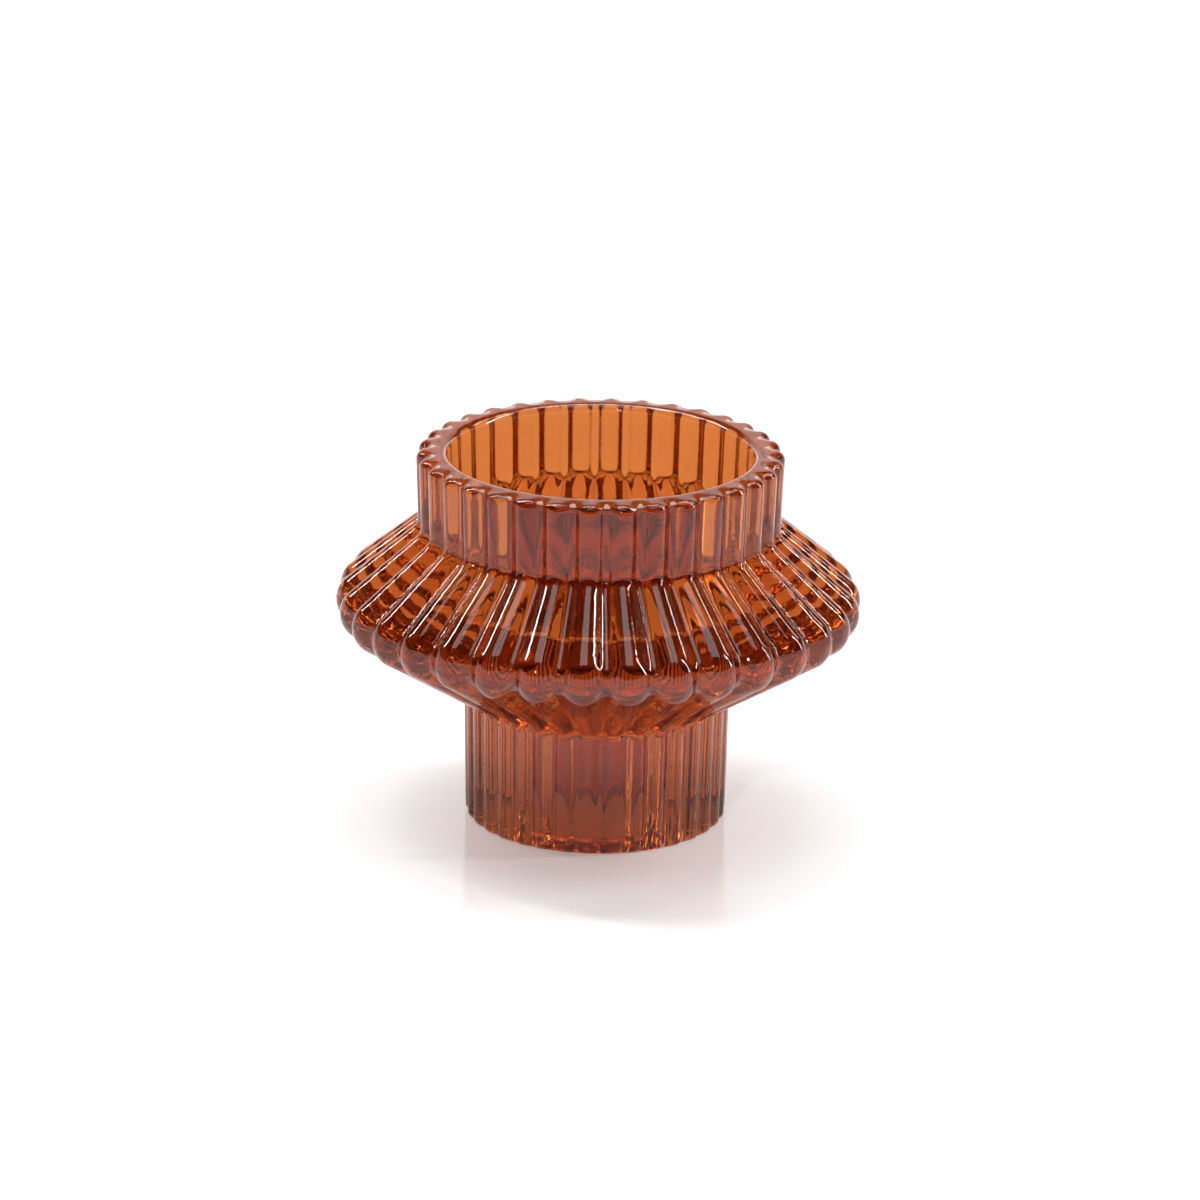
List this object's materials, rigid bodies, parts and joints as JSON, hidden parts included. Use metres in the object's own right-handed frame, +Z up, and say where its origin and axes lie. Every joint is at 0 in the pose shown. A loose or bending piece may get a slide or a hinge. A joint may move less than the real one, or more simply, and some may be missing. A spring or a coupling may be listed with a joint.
{
  "type": "glass candlestick",
  "caption": "Ribbed amber pressed-glass candlestick with a collared tealight cup, a wide flared skirt and a straight stem foot holding a taper socket underneath.",
  "frame": {"origin": "centre of the circle that the foot stands on, at the lowest point of the glass", "axes": "+Z up along the body's axis, towards the tealight mouth; +X and +Y across, with a rib crest at +X and a groove at -Y"},
  "size_m": [0.0902, 0.0898, 0.0653],
  "materials": {
    "amber_glass": "fire-polished clear amber-brown pressed glass, smooth and glossy"
  },
  "bodies": {
    "root": {"glass_body": "amber_glass"}
  },
  "joints": []
}
